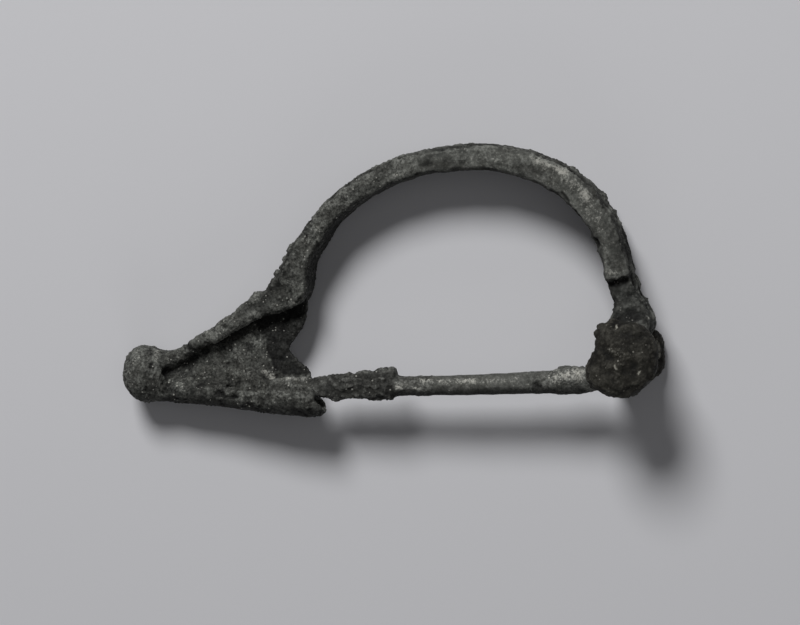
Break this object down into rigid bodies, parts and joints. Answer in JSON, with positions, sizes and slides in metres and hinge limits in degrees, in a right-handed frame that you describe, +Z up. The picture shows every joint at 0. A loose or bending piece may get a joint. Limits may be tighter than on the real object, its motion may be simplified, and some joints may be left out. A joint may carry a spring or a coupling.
{
  "type": "hinged bow brooch",
  "caption": "Corroded bronze hinged bow brooch: arched ribbed bow, foot with round knob, catch-plate rolled into a catch, rusted iron hinge axis and straight pin.",
  "frame": {"origin": "centre of the bounding box in plan, on the surface that the brooch lies on", "axes": "+X from the foot knob towards the hinge, +Y from the pin towards the top of the bow, +Z up, across the bow"},
  "size_m": [0.0524, 0.0264, 0.0123],
  "materials": {
    "bronze": "rough corroded bronze, grey-green to dark grey with pale specks and crusts",
    "pin_bronze": "corroded bronze with pale patches and a darker sleeve of crust",
    "rusted_iron": "thick dark brown rust, rough and pitted"
  },
  "bodies": {
    "bow": {"bow": "bronze", "hinge_axis": "rusted_iron"},
    "pin": {"pin": "pin_bronze"}
  },
  "joints": [
    {"name": "pin_swing", "type": "hinge", "parent": "bow", "child": "pin", "pos_m": [0.02287, -0.00777, 0.00602], "axis": [0.0726, -0.0905, -0.9932], "range_deg": [0, 8]}
  ]
}
